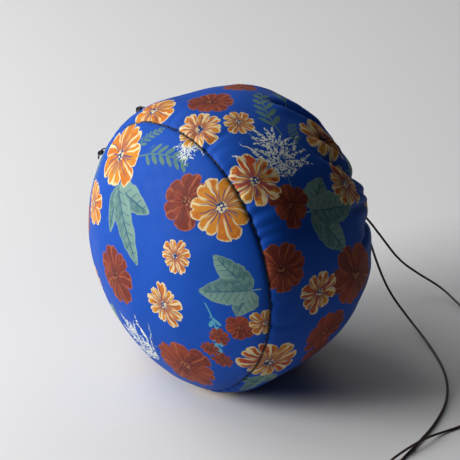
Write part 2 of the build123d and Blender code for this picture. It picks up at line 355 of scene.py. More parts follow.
def panel_places(profile, arc, height_of):
    """A panel's ring grid, moved out along its normals by what height_of gives, and its own normals."""
    x, out = profile(arc)
    plain = ring_grid(x, out, turns)
    normals = grid_normals(plain)
    height = height_of(plain, out)
    height += crumple(plain, 11) + sag_shape(plain)
    return plain + normals * height[:, :, None], normals


def turned_in(places, normals, edge):
    """Rings that carry a panel's edge row inwards, as the seam allowance does."""
    return np.stack([places[edge] - depth * normals[edge] for depth in TURNED_IN])


# ---- end panel
end_from_seam = np.concatenate([
    np.linspace(SEAM_GAP, 0.004, 12),
    np.linspace(0.0052, 0.018, 12),
    np.linspace(0.0195, SEAM_ARC - 0.0006, 32),
])
end_panel_arc = SEAM_ARC - end_from_seam[::-1]


def end_height(plain, out):
    return seam_shape(SEAM_ARC - end_panel_arc, turns, END_PUCKER, END_PUCKER_REACH, 5)


end_places, end_normals = panel_places(end_profile, end_panel_arc, end_height)

# ---- side wall
end_of_side = float(np.interp(SIDE_INTO_HEM, mouth_out, mouth_arc))
side_full = SEAM_TO_WIDEST + mouth_arc[-1] - end_of_side
side_panel_arc = np.concatenate([
    np.linspace(SEAM_GAP, 0.004, 12),
    np.linspace(0.0051, 0.018, 13),
    np.linspace(0.0195, 0.048, 20),
    np.linspace(0.0492, side_full, 46),
])


def side_height(plain, out):
    seam_part = seam_shape(side_panel_arc, turns, SIDE_PUCKER, SIDE_PUCKER_REACH, 7)
    return seam_part + pleat_shape(turns, side_panel_arc, out) + crease_shape(turns, side_panel_arc)


side_places, side_normals = panel_places(side_profile, side_panel_arc, side_height)


# ---- panels as meshes
def end_mesh():
    """The end panel: a cap at its crown, its rings, and its edge turned in."""
    rows = rest_on_floor(end_places)
    rows = np.concatenate([rows, turned_in(rows, end_normals, -1)])
    arcs = np.concatenate([end_panel_arc, SEAM_ARC + np.array(TURNED_IN)])
    points = np.concatenate([rows.reshape(-1, 3), rows[0].mean(axis=0)[None]])
    return points, ring_quads(len(rows), COLUMNS), fan(0, len(points) - 1), arcs


def side_mesh():
    """The side wall: its edge turned in, then its rings as far as the inside of the hem."""
    rows = rest_on_floor(side_places)
    rows = np.concatenate([turned_in(rows, side_normals, 0)[::-1], rows])
    arcs = np.concatenate([-np.array(TURNED_IN)[::-1], side_panel_arc])
    return rows.reshape(-1, 3), ring_quads(len(rows), COLUMNS), arcs


end_points, end_quads, end_cap, end_arcs = end_mesh()
side_points, side_quads, side_arcs = side_mesh()
end_cover = mesh_piece("end_panel_cloth", end_points, [*end_quads, *end_cap])
side_cover = mesh_piece("side_panel_cloth", side_points, side_quads)


# ---- the print's layout
# Across and along each panel in mm of flat cloth, radius in mm, turn of the motif's own top in degrees, and
# style.
# On the end panel, across runs towards +Y and along runs up from the crown. On the side wall, across is 60 mm
# times the angle from the top towards +Y, and along runs from the round seam towards the mouth.
END_PRINT = {
    "orange": [
        (-37, 41, 15.5, 75, 0), (23, 42, 15.5, 250, 0), (35, 16, 11, 200, 0), (-23, 17, 7.5, 10, 1),
        (-18, -6, 10.5, 240, 1), (-61, -6, 7.5, 20, 1), (-9, 67, 10.5, 330, 1), (-60, -30, 14, 130, 2),
        (40, -22, 9, 40, 1), (24, -52, 12, 300, 2),
    ],
    "rust": [
        (-22, 39, 12, 110, 0), (11, -5, 12.5, 300, 0), (-22, -36, 16.5, 340, 0), (-51, -8, 7, 80, 0),
        (-42, -14, 5, 60, 1), (-37, -22, 4.5, 15, 1), (-41, -28, 5, 290, 1), (48, 2, 8, 100, 0),
    ],
    "leaf": [(8, 20, 19, 233, 1), (-46, 8, 12.5, 349, 0), (34, -38, 13, 60, 0)],
    "fern": [(-1, 50, 15, 166, 0), (11, 54, 8.5, 116, 0), (-40, -12, 14, 266, 1), (44, 33, 10, 250, 0)],
    "spray": [(3, -34, 15, 36, 0), (-11, 57, 7, 255, 0)],
}
SIDE_PRINT = {
    "orange": [
        (21, 5, 12, 90, 0), (-8, 5, 10.5, 320, 1), (-15, 19, 7.5, 40, 1), (-41, 8, 12, 200, 2),
        (-33, 52, 12.5, 60, 1), (-55, 50, 12, 10, 2), (-92, 22, 10, 120, 2), (-123, 4, 14, 130, 2),
    ],
    "rust": [
        (3, 20, 10, 0, 0), (-55, 17, 9.5, 70, 0), (-77, 6, 11, 190, 0), (-93, 43, 16, 30, 0),
        (-115, 29, 12.5, 260, 0), (10, 40, 8, 300, 0), (-131, 31, 9, 30, 0),
    ],
    "leaf": [(-62, 36, 14.5, 100, 0), (-143, 6, 12, 180, 1), (-48, 66, 8, 80, 1)],
    "fern": [(-15, 35, 16, 21, 0), (-28, 38, 9, 24, 0), (-5, 50, 9, 20, 0)],
    "spray": [(-34, 24, 15, 12, 0)],
}
KINDS = ["orange", "rust", "leaf", "fern", "spray"]
SCATTER_TRIES = 2600
SCATTER_SPACING = 0.86              # least distance between two motifs, as a share of their radii together
SCATTER_SHARE = [0.34, 0.24, 0.18, 0.12, 0.12]      # how often each kind is drawn
SCATTER_RADII = [(7, 15), (7, 15), (11, 16), (9, 15), (10, 15)]
PLACED_PART = (-172, 38, 62)        # the wall's part laid out one by one: across from, to, and along to, in mm
SEEDS = 32                          # a motif's seed is one of this many even shares of a whole
REACH = 1.25                        # a motif's faces lie within this many radii of its middle
AROUND_MM = 2 * math.pi * 1000 * BALL_RADIUS
NO_REPEAT = 1e6                     # a period that no panel reaches


def scatter_print():
    """Fills the rest of the side wall's print, keeping each new motif clear of all the others."""
    draws = np.random.default_rng(21)
    placed = {kind: list(rows) for kind, rows in SIDE_PRINT.items()}
    spots = [row[:3] for rows in placed.values() for row in rows]
    for _ in range(SCATTER_TRIES):
        across = draws.uniform(-AROUND_MM / 2, AROUND_MM / 2)
        along = draws.uniform(-2, 1000 * side_full)
        pick = draws.choice(len(KINDS), p=SCATTER_SHARE)
        radius = round(draws.uniform(*SCATTER_RADII[pick]), 1)
        turn = draws.uniform(0, 360)
        style = int(draws.integers(0, 3)) if pick == 0 else int(draws.integers(0, 2)) * (pick == 2)
        if PLACED_PART[0] < across < PLACED_PART[1] and along < PLACED_PART[2]:
            continue
        gaps = [
            math.hypot(abs(across - x + AROUND_MM / 2) % AROUND_MM - AROUND_MM / 2, along - y)
            - SCATTER_SPACING * (radius + other)
            for x, y, other in spots
        ]
        if min(gaps) > 0:
            placed[KINDS[pick]].append((across, along, radius, turn, style))
            spots.append((across, along, radius))
    return placed


def motif_places(points, middles, rows, period, seed):
    """The nearest motif's own coordinates at each face's corners, and far away if none is near."""
    draws = np.random.default_rng(seed)
    codes = [row[4] + draws.integers(1, SEEDS) / SEEDS for row in rows]
    rows = np.array(rows, float)
    across = middles[:, None, 0] - rows[None, :, 0]
    shift = np.round(across / period) * period
    away = np.hypot(across - shift, middles[:, None, 1] - rows[None, :, 1]) / rows[:, 2]
    nearest = away.argmin(axis=1)
    picked = rows[nearest]
    moved = points - picked[:, None, :2]
    moved[:, :, 0] -= shift[np.arange(len(nearest)), nearest][:, None]
    top = np.radians(picked[:, 3])[:, None]
    own = np.full((*points.shape[:2], 3), 9.0)
    own[:, :, 0] = (moved[:, :, 0] * np.sin(top) - moved[:, :, 1] * np.cos(top)) / picked[:, 2:3]
    own[:, :, 1] = (moved[:, :, 0] * np.cos(top) + moved[:, :, 1] * np.sin(top)) / picked[:, 2:3]
    own[:, :, 2] = np.array(codes)[nearest][:, None]
    own[away.min(axis=1) > REACH] = (9, 9, 0)
    return own


def write_corners(mesh, name, values):
    """Stores one vector for each face corner."""
    layer = mesh.attributes.new(name, "FLOAT_VECTOR", "CORNER")
    layer.data.foreach_set("vector", np.asarray(values, np.float32).ravel())


def print_panel(piece, corner_points, corner_counts, rows_by_kind, period, seed):
    """Gives a panel its cloth coordinates and each motif kind's own coordinates."""
    starts = np.concatenate([[0], np.cumsum(corner_counts)[:-1]])
    middles = np.add.reduceat(corner_points, starts) / np.array(corner_counts)[:, None]
    cloth = np.concatenate([corner_points / 1000, np.zeros((len(corner_points), 1))], axis=1)
    write_corners(piece.data, "cloth", cloth)
    for order, kind in enumerate(KINDS):
        values = np.empty((len(corner_points), 3))
        for count in sorted(set(corner_counts)):
            chosen = np.flatnonzero(np.array(corner_counts) == count)
            corners = starts[chosen][:, None] + np.arange(count)
            values[corners] = motif_places(
                corner_points[corners], middles[chosen], rows_by_kind[kind], period, seed + order
            )
        write_corners(piece.data, kind, values)


def quad_columns(rings):
    """The two turns of each quad of a ring grid, in ring order, each pair without a jump."""
    before = np.arange(COLUMNS) * 2 * math.pi / COLUMNS
    before = np.where(before >= math.pi, before - 2 * math.pi, before)
    after = before + 2 * math.pi / COLUMNS
    return np.tile(before, rings - 1), np.tile(after, rings - 1)


def wall_corners(arcs):
    """Cloth coordinates in mm of each face's four corners, on rings at these arc lengths from the seam."""
    before, after = quad_columns(len(arcs))
    low = np.repeat(arcs[:-1], COLUMNS)
    high = np.repeat(arcs[1:], COLUMNS)
    across = np.stack([before, after, after, before], axis=1) * BALL_RADIUS
    along = np.stack([low, low, high, high], axis=1)
    return 1000 * np.stack([across, along], axis=2)


def end_corners():
    """Cloth coordinates in mm of every face corner of the end panel, its crown's cap last."""
    before, after = quad_columns(len(end_arcs))
    low = np.repeat(end_arcs[:-1], COLUMNS)
    high = np.repeat(end_arcs[1:], COLUMNS)
    out = np.stack([low, low, high, high], axis=1)
    turned = np.stack([before, after, after, before], axis=1)
    quads = np.stack([out * np.sin(turned), out * np.cos(turned)], axis=2).reshape(-1, 2)
    before, after = before[:COLUMNS], after[:COLUMNS]
    inner = end_arcs[0]
    cap = np.zeros((COLUMNS, 3, 2))
    cap[:, 0] = inner * np.stack([np.sin(after), np.cos(after)], axis=1)
    cap[:, 1] = inner * np.stack([np.sin(before), np.cos(before)], axis=1)
    return 1000 * np.concatenate([quads, cap.reshape(-1, 2)])


side_corners = wall_corners(side_arcs).reshape(-1, 2)
print_panel(side_cover, side_corners, [4] * len(side_quads), scatter_print(), AROUND_MM, 31)
print_panel(end_cover, end_corners(), [4] * len(end_quads) + [3] * COLUMNS, END_PRINT, NO_REPEAT, 41)


# ---- short calls for shader nodes
def feed(tree, entry, value):
    """Links a socket or sets a constant on a node's input."""
    if isinstance(value, Socket):
        tree.links.new(value.output, entry)
    else:
        entry.default_value = value


class Socket:
    """A node's output. Arithmetic on it adds Math nodes to its tree."""

    def __init__(self, tree, output):
        self.tree = tree
        self.output = output

    def math(self, operation, *others):
        node = self.tree.nodes.new("ShaderNodeMath")
        node.operation = operation
        for entry, value in zip(node.inputs, (self, *others)):
            feed(self.tree, entry, value)
        return Socket(self.tree, node.outputs[0])

    def __add__(self, other):
        return self.math("ADD", other)

    def __sub__(self, other):
        return self.math("SUBTRACT", other)

    def __rsub__(self, other):
        return self.math("MULTIPLY_ADD", -1.0, other)

    def __mul__(self, other):
        return self.math("MULTIPLY", other)

    def __truediv__(self, other):
        return self.math("DIVIDE", other)

    def __pow__(self, other):
        return self.math("POWER", other)

    def floor(self):
        return self.math("FLOOR")

    def fract(self):
        return self.math("FRACT")

    def size(self):
        return self.math("ABSOLUTE")

    def least(self, other):
        return self.math("MINIMUM", other)

    def most(self, other):
        return self.math("MAXIMUM", other)


def new_node(tree, kind, settings=None, **values):
    """A node with its settings and its inputs, whose names have _ for a space."""
    node = tree.nodes.new(kind)
    for name, value in (settings or {}).items():
        setattr(node, name, value)
    for name, value in values.items():
        feed(tree, node.inputs[name.replace("_", " ")], value)
    return node


def attribute(tree, name):
    node = new_node(tree, "ShaderNodeAttribute", {"attribute_name": name})
    return Socket(tree, node.outputs["Vector"])


def split(vector):
    node = new_node(vector.tree, "ShaderNodeSeparateXYZ", Vector=vector)
    return [Socket(vector.tree, output) for output in node.outputs]


def join(x, y, z=0.0):
    node = new_node(x.tree, "ShaderNodeCombineXYZ", X=x, Y=y, Z=z)
    return Socket(x.tree, node.outputs[0])


def noise(vector, scale, detail=2.0):
    """Soft noise between 0 and 1."""
    node = new_node(vector.tree, "ShaderNodeTexNoise", Vector=vector, Scale=scale, Detail=detail)
    return Socket(vector.tree, node.outputs["Fac"])


def draw(value):
    """An even random number between 0 and 1 for each whole value."""
    node = new_node(value.tree, "ShaderNodeTexWhiteNoise", {"noise_dimensions": "1D"}, W=value)
    return Socket(value.tree, node.outputs["Value"])


def cells(vector, scale):
    """Distance to the nearest of many scattered points."""
    node = new_node(vector.tree, "ShaderNodeTexVoronoi", Vector=vector, Scale=scale)
    return Socket(vector.tree, node.outputs["Distance"])


def ease(value, low, high, start=0.0, end=1.0):
    """Start where the value is at low or under, end where it is at high or over, and smooth between."""
    settings = {"interpolation_type": "SMOOTHSTEP"}
    node = new_node(
        value.tree, "ShaderNodeMapRange", settings,
        Value=value, From_Min=low, From_Max=high, To_Min=start, To_Max=end,
    )
    return Socket(value.tree, node.outputs["Result"])


def under(value, edge, soft=0.03):
    """1 where the value is below an edge, which may be a socket."""
    return ease(value - edge, -soft / 2, soft / 2, 1.0, 0.0)


def mix(share, below, above):
    """The colour below with the one above laid over it by share."""
    node = new_node(share.tree, "ShaderNodeMix", {"data_type": "RGBA"})
    feed(share.tree, node.inputs[0], share)
    feed(share.tree, node.inputs[6], below)
    feed(share.tree, node.inputs[7], above)
    return Socket(share.tree, node.outputs[2])


PAINT_STRENGTH = 0.8


def paint(red, green, blue):
    """A shader colour from everyday 0 to 255 numbers, at the strength of printed cotton."""
    linear = [((c / 255 + 0.055) / 1.055) ** 2.4 if c > 10 else c / 3294 for c in (red, green, blue)]
    return (*(PAINT_STRENGTH * part for part in linear), 1)


# ---- the print's motifs
TURN = 2 * math.pi


def motif_code(code):
    """A motif's style and its seed, rounded so that random draws are the same all over the motif."""
    return code.floor(), (code.fract() * SEEDS + 0.5).floor() / SEEDS


GROUND_DARK = paint(3, 69, 166)
GROUND_LIGHT = paint(6, 77, 178)
WEAVE_SHADE = paint(8, 22, 70)
ORANGE = paint(204, 132, 38)
ORANGE_DEEP = paint(194, 110, 30)
CREAM = paint(226, 206, 158)
VEIN_BLUE = paint(24, 62, 120)
RED_ORANGE = paint(176, 72, 30)
RUST = paint(140, 60, 38)
RUST_DEEP = paint(116, 47, 33)
RUST_STREAK = paint(164, 86, 50)
RUST_VEIN = paint(78, 34, 30)
RUST_HEART = paint(170, 100, 60)
LEAF_LIGHT = paint(112, 146, 138)
LEAF_DARK = paint(80, 118, 118)
LEAF_PALE = paint(132, 164, 150)
LEAF_VEIN = paint(38, 84, 112)
FERN_GREEN = paint(76, 118, 122)
FERN_YELLOW = paint(94, 128, 116)
STEM_BLUE = paint(84, 166, 196)
SPRAY_WHITE = paint(232, 236, 224)
SPRAY_STEM = paint(120, 158, 150)


def bloom(place, fills, streak, vein, heart, streaks):
    """A flower of 6 to 9 petals: two fills, light streaks and rims, dark veins and gaps, and a heart."""
    x, y, code = split(place)
    style, seed = motif_code(code)
    shifted = join(x, y, seed * 40)
    wobble = noise(shifted, 1.6) - 0.5
    grain = noise(shifted, 5.0, 2.0) - 0.5
    radius = (x * x + y * y).math("SQRT") + wobble * 0.16
    slim = ease(style, 0.4, 0.6)
    count = (seed * 1.99 + slim * 1.99).floor() + 6
    angle = y.math("ARCTAN2", x) / TURN + seed + wobble * 0.09
    turned = angle * count
    petal = ((turned.floor() / count).fract() * count + 0.5).floor() + seed * 96
    chance, chance_too = draw(petal), draw(petal + 7)
    across = turned.fract() - 0.5
    width = radius * TURN / count
    shoulder = (across.size() * 2) ** 4.0
    edge = (chance * 0.24 + 0.76) * (1.0 - shoulder * (slim * 0.16 + 0.20)) + grain * 0.035
    edge = edge - under(across.size(), 0.06, 0.08) * (chance_too * 0.08)
    to_gap = (0.5 - across.size()) * width
    gap = under(to_gap, 0.012, 0.02)
    petals = under(radius, edge)

    colour = mix(ease(noise(shifted, 3.0) + (chance - 0.5) * 0.5, 0.42, 0.6), *fills)
    streaky = noise(join(across * 9, radius * 1.6, petal), 1.5, 1.0)
    side = (chance_too - 0.5) * 0.5
    band = under((across - side).size(), streaky * streaks * 0.17, 0.05)
    band = band * ease(radius, 0.2, 0.42)
    rim = under(edge - radius, (streaky - 0.22) * streaks * 0.22, 0.04)
    gap_rim = under(to_gap, (streaky - 0.36) * streaks * 0.22, 0.03) * ease(radius, 0.25, 0.5)
    colour = mix(band.most(rim).most(gap_rim) * 0.95, colour, streak)
    reach = ease(radius, 0.1, 0.2) * under(radius, chance * 0.35 + 0.45, 0.1)
    line = under(((across + side * 0.8 + 0.06).size() * width), 0.014, 0.02)
    second = under(((across - 0.24).size() * width), 0.010, 0.02) * under(chance, 0.5)
    colour = mix(line.most(second) * reach * 0.9, colour, vein)
    near = under(radius, 0.42, 0.3)
    colour = mix(gap * near, colour, vein)
    middle = under(radius, 0.15, 0.05)
    dots = under(cells(shifted, 11.0), 0.44, 0.15)
    colour = mix(middle, colour, mix(dots, vein, heart))
    cut = gap * ease(radius, slim * -0.2 + 0.62, slim * -0.2 + 0.9)
    return colour, petals * (1.0 - cut)


def leaf(place):
    """A leaf of three pointed lobes: broad ones in style 0, long ones in style 1."""
    x, y, code = split(place)
    style, seed = motif_code(code)
    shifted = join(x, y, seed * 40)
    bend = (noise(shifted, 1.3) - 0.5) * 0.12
    ragged = (noise(shifted, 4.5, 2.0) - 0.5) * 0.5
    base = 0.75
    colour = None
    mask = None
    for turns, lengths, widths in (
        ((55, -36), (1.10, 1.05), (0.56, 0.26)),
        ((-48, 46), (1.68, 1.22), (0.56, 0.40)),
        ((0, 0), (1.70, 1.75), (0.66, 0.40)),
    ):
        angle = style * math.radians(turns[1] - turns[0]) + math.radians(turns[0])
        length = style * (lengths[1] - lengths[0]) + lengths[0]
        width = style * (widths[1] - widths[0]) + widths[0]
        sine, cosine = angle.math("SINE"), angle.math("COSINE")
        along = (x * sine + (y + base) * cosine) / length
        across = x * cosine - (y + base) * sine + bend * along
        inside = along.most(0.0).least(1.0)
        half = (inside ** 0.55) * ((1.0 - inside) ** 0.95) * width * 1.95 * (ragged + 1.0)
        lobe = under(across.size(), half, 0.03) * ease(along, 0.0, 0.03) * ease(along, 0.96, 0.99, 1.0, 0.0)
        near_edge = ease(half - across.size(), 0.0, 0.06, 1.0, 0.0)
        tone = mix(ease(across, -0.01, 0.01), LEAF_DARK, LEAF_LIGHT)
        tone = mix(ease(noise(shifted, 5.0, 3.0), 0.4, 0.65) * 0.45, tone, LEAF_PALE)
        tone = mix(near_edge * 0.55, tone, LEAF_PALE)
        slant = ((along * length - across.size() * 0.75) * 4.6).fract()
        side_vein = under((slant - 0.5).size(), 0.055, 0.04) * under(across.size(), half * 0.75)
        middle_vein = under(across.size(), 0.018, 0.016) * under(along, 0.86, 0.1)
        tone = mix(side_vein.most(middle_vein) * 0.85, tone, LEAF_VEIN)
        colour = tone if colour is None else mix(lobe, colour, tone)
        mask = lobe if mask is None else mask.most(lobe)
    stem = under(x.size(), 0.02, 0.02) * under((y + 0.88).size(), 0.16)
    return mix(mask, LEAF_PALE, colour), mask.most(stem)


def fern(place):
    """A bent stem with pairs of leaflets in style 0, and a nearly bare one in style 1."""
    x, y, code = split(place)
    style, seed = motif_code(code)
    bent = x + y * y * 0.24 - 0.10
    share = (y + 1.0) * 0.5
    width = (0.36 - share * 0.14) * (1.0 - style * 0.35)
    width = width * ease(y, -0.62, -0.35) * ease(y, 0.93, 0.99, 1.0, 0.0)
    across = bent.size()
    row = (y - across * 0.85) * 3.7 + ease(bent, -0.001, 0.001) * 0.3 + seed
    off = (row.fract() - 0.5).size() / 3.7
    out = (across / width.most(0.01)).least(1.0)
    thick = (out * math.pi).math("SINE") ** 0.6 * 0.095
    leaflets = under(off, thick, 0.02) * under(across, width, 0.02)
    stem = under(across, 0.022, 0.016) * under(y.size(), 0.97)
    tone = mix(ease(noise(join(x, y, seed * 30), 2.5), 0.4, 0.6), FERN_GREEN, FERN_YELLOW)
    tone = mix(ease(row.fract(), 0.42, 0.58) * 0.6, tone, LEAF_DARK)
    return mix(style * 0.8, tone, STEM_BLUE), leaflets.most(stem)


def spray(place):
    """A plume of thin feathery branches, each a row of small white specks, with a denser middle."""
    x, y, code = split(place)
    _, seed = motif_code(code)
    shifted = join(x, y, seed * 40)
    wobble = noise(shifted, 2.2) - 0.5
    white = None
    for base, fan, rows, reach in ((0.80, 1.0, 3.2, 1.75), (0.25, 1.9, 2.2, 0.95), (-0.15, 1.5, 2.6, 0.85)):
        up = y + base
        radius = (x * x + up * up).math("SQRT")
        angle = x.math("ARCTAN2", up) + wobble * 0.5
        row = angle * rows + seed * 3
        branch = row.floor() * 1.7 + seed * 60 + base
        long_enough = (draw(branch) * 0.45 + 0.55) * reach
        off = (row.fract() - 0.5 + (draw(branch + 9) - 0.5) * 0.3).size() / rows * radius
        taper = 1.0 - radius / long_enough
        body = under(off, (taper.most(0.0) ** 0.5) * 0.085, 0.03) * under(radius, long_enough, 0.04)
        body = body * ease(radius, 0.05, 0.2) * under(angle.size(), fan, 0.1)
        white = body if white is None else white.most(body)
    specks = under(cells(shifted, 12.0), 0.42, 0.14)
    fine = under(noise(shifted, 15.0, 3.0), 0.5, 0.05)
    white = white * specks.most(fine)
    stem = under(x.size(), 0.012, 0.012) * under((y + 0.75).size(), 0.25)
    return mix(white, SPRAY_STEM, SPRAY_WHITE), white.most(stem * 0.8)


def new_material(name):
    """A new material, with its node tree and its shader."""
    material = bpy.data.materials.new(name)
    material.use_nodes = True
    tree = material.node_tree
    return material, tree, tree.nodes["Principled BSDF"]


def surface(shader, colour, height, strength, distance):
    """Gives a shader its colour and its bumps."""
    tree = colour.tree
    tree.links.new(colour.output, shader.inputs["Base Color"])
    bump = new_node(tree, "ShaderNodeBump", Height=height, Strength=strength, Distance=distance)
    tree.links.new(bump.outputs[0], shader.inputs["Normal"])


def weave(across, along, pitch):
    """Crossed waves between minus and plus 1, one thread to a pitch."""
    return (across * (TURN / pitch)).math("SINE") * (along * (TURN / pitch)).math("SINE")


def cloth_material():
    """Printed cotton satin: motifs over a blue ground, a fine weave and a soft sheen."""
    material, tree, shader = new_material("printed_cloth")
    cloth = attribute(tree, "cloth")
    colour = mix(noise(cloth, 60.0, 3.0), GROUND_DARK, GROUND_LIGHT)
    fern_colour, fern_mask = fern(attribute(tree, "fern"))
    colour = mix(fern_mask, colour, fern_colour)
    leaf_colour, leaf_mask = leaf(attribute(tree, "leaf"))
    colour = mix(leaf_mask, colour, leaf_colour)
    rust_colour, rust_mask = bloom(
        attribute(tree, "rust"), (RUST, RUST_DEEP), RUST_STREAK, RUST_VEIN, RUST_HEART, 0.55
    )
    colour = mix(rust_mask, colour, rust_colour)
    spray_colour, spray_mask = spray(attribute(tree, "spray"))
    colour = mix(spray_mask, colour, spray_colour)
    place = attribute(tree, "orange")
    style = split(place)[2].floor()
    deep = mix(ease(style, 1.4, 1.6), ORANGE_DEEP, RED_ORANGE)
    orange_colour, orange_mask = bloom(
        place, (ORANGE, deep), CREAM, VEIN_BLUE, CREAM, ease(style, 0.4, 0.6, 0.7, 1.1)
    )
    colour = mix(orange_mask, colour, orange_colour)

    x, y, _ = split(cloth)
    threads = weave(x, y, 0.00042)
    fleck = noise(cloth, 900.0, 2.0)
    colour = mix(ease(threads + fleck - 0.5, -0.6, 1.0, 0.0, 0.10), colour, WEAVE_SHADE)
    slubs = noise(join(x * 0.12, y), 700.0, 2.0) + noise(join(x, y * 0.12), 700.0, 2.0)
    surface(shader, colour, threads * 0.35 + slubs, 0.16, 0.00012)
    rough = ease(noise(cloth, 220.0, 3.0), 0.3, 0.7, 0.60, 0.70)
    tree.links.new(rough.output, shader.inputs["Roughness"])
    shader.inputs["Sheen Weight"].default_value = 0.03
    shader.inputs["Sheen Roughness"].default_value = 0.4
    shader.inputs["Specular IOR Level"].default_value = 0.14
    return material


printed_cloth = cloth_material()


# ---- thread and cord finishes
def strand_material(name, dark, light, roughness, grain):
    """Twisted thread or cord: two close tones, a fine grain and a soft gloss."""
    material, tree, shader = new_material(name)
    place = Socket(tree, new_node(tree, "ShaderNodeTexCoord").outputs["Object"])
    fibres = noise(place, grain, 4.0)
    surface(shader, mix(ease(fibres, 0.35, 0.65), paint(*dark), paint(*light)), fibres, 0.35, 0.00015)
    rough = ease(noise(place, grain / 3), 0.3, 0.7, roughness - 0.06, roughness + 0.06)
    tree.links.new(rough.output, shader.inputs["Roughness"])
    return material


black_thread = strand_material("black_thread", (10, 9, 12), (30, 27, 32), 0.55, 5200.0)
white_thread = strand_material("white_thread", (205, 200, 190), (235, 232, 224), 0.6, 5200.0)
waxed_cord = strand_material("waxed_cord", (40, 22, 18), (74, 44, 34), 0.42, 2600.0)


def attach(piece, node, material):
    """Gives a piece its material, hides the CAD node that it stands for, and makes it move with the ball."""
    piece.data.materials.append(material)
    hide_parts(node)
    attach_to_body(piece, "root")
    return piece


# ---- stitches
STITCH_SIDES = 8
STITCH_DIVE = 0.0003         # how far a stitch's ends go into the cloth
STITCH_STATIONS = [          # places along a stitch from its middle, in half lengths, and its width there
    (-1, 0.15), (-0.88, 0.6), (-0.6, 0.95), (-0.2, 1.0), (0.2, 1.0), (0.6, 0.95), (0.88, 0.6), (1, 0.15),
]


def stitches(name, places, runs, outs, radius, length):
    """Short rounded stitches whose ends dive into the cloth, each at a place, along a run and facing out."""
    around = np.arange(STITCH_SIDES) * 2 * math.pi / STITCH_SIDES
    draws = np.random.default_rng(17)
    points, faces = [], []
    for place, run, out in zip(places, runs, outs):
        run = run / np.linalg.norm(run)
        out = out / np.linalg.norm(out)
        side = np.cross(run, out)
        start = sum(len(part) for part in points)
        thick = radius * draws.uniform(0.8, 1.45)
        rows = [
            place + run * length / 2 * at - out * STITCH_DIVE * at ** 4 + thick * width
            * (np.outer(np.cos(around), side) + np.outer(np.sin(around), out))
            for at, width in STITCH_STATIONS
        ]
        points.append(np.concatenate(rows))
        quads = ring_quads(len(rows), STITCH_SIDES) + start
        faces += quads.tolist()
        faces.append([start + i for i in range(STITCH_SIDES)][::-1])
        faces.append([start + (len(rows) - 1) * STITCH_SIDES + i for i in range(STITCH_SIDES)])
    return mesh_piece(name, np.concatenate(points), faces)


def round_seam(rows_before, rows_after, count, lift, spread):
    """Places, runs and outward directions of stitches along a round seam between two rows of points."""
    middle = (rows_before + rows_after) / 2
    columns = np.arange(count) * COLUMNS / count
    low = columns.astype(int)
    share = (columns - low)[:, None]
    at = middle[low] * (1 - share) + middle[(low + 1) % COLUMNS] * share
    runs = middle[(low + 2) % COLUMNS] - middle[low - 1]
    outs = at - np.array([WIDEST_X + 0.004, 0, AXIS_Z])
    outs /= np.linalg.norm(outs, axis=1)[:, None]
    draws = np.random.default_rng(3)
    turned = runs / np.linalg.norm(runs, axis=1)[:, None]
    turned = turned + np.outer(draws.uniform(-spread, spread, count), (1, 0, 0))
    return at + lift * outs, turned, outs


SEAM_STITCHES = 139
SEAM_STITCH_RADIUS = 0.00022
SEAM_STITCH_LENGTH = 0.0026
SEAM_STITCH_LIFT = 0.00045
SEAM_STITCH_SPREAD = 0.16
seam_rows = rest_on_floor(end_places[-1:])[0], rest_on_floor(side_places[:1])[0]
seam_line = round_seam(*seam_rows, SEAM_STITCHES, SEAM_STITCH_LIFT, SEAM_STITCH_SPREAD)
end_seam = stitches("end_seam_stitches", *seam_line, SEAM_STITCH_RADIUS, SEAM_STITCH_LENGTH)
attach(end_seam, "end_seam_thread", black_thread)

# The lengthwise seam of the side wall.
SIDE_STITCH_PITCH = 0.0025
SIDE_STITCH_RADIUS = 0.00022
SIDE_STITCH_LENGTH = 0.0017
SIDE_STITCH_LIFT = 0.00008
SIDE_SEAM_START = 0.003      # from the round seam to the first stitch
SIDE_SEAM_END = 0.004        # from the last stitch to the wall's edge in the hem


def side_seam_line():
    """Points down the lengthwise seam, one to a stitch, with the seam's run and outward direction there."""
    column = int(round(SIDE_SEAM_TURN / (2 * math.pi) * COLUMNS))
    line = rest_on_floor(side_places[:, column:column + 1])[:, 0]
    out = side_normals[:, column]
    gone = np.concatenate([[0], np.cumsum(np.linalg.norm(np.diff(line, axis=0), axis=1))])
    wanted = np.arange(SIDE_SEAM_START, gone[-1] - SIDE_SEAM_END, SIDE_STITCH_PITCH)
    places = np.stack([np.interp(wanted, gone, line[:, i]) for i in range(3)], axis=1)
    outs = np.stack([np.interp(wanted, gone, out[:, i]) for i in range(3)], axis=1)
    runs = np.gradient(places, axis=0)
    return places + SIDE_STITCH_LIFT * outs, runs, outs


side_seam = stitches("side_seam_stitches", *side_seam_line(), SIDE_STITCH_RADIUS, SIDE_STITCH_LENGTH)
attach(side_seam, "side_seam_thread", black_thread)

# ---- knots that tie off the seam's thread
TIE_KNOTS = [(-0.0025, 59), (0.0105, 37)]      # metres from the seam along X, degrees round from the top
TIE_KNOT_RADIUS = 0.0012
TIE_THREAD_RADIUS = 0.00030
TIE_LOOP_POINTS = 30
TIE_LOOP_STEP = 2 * math.pi / 8


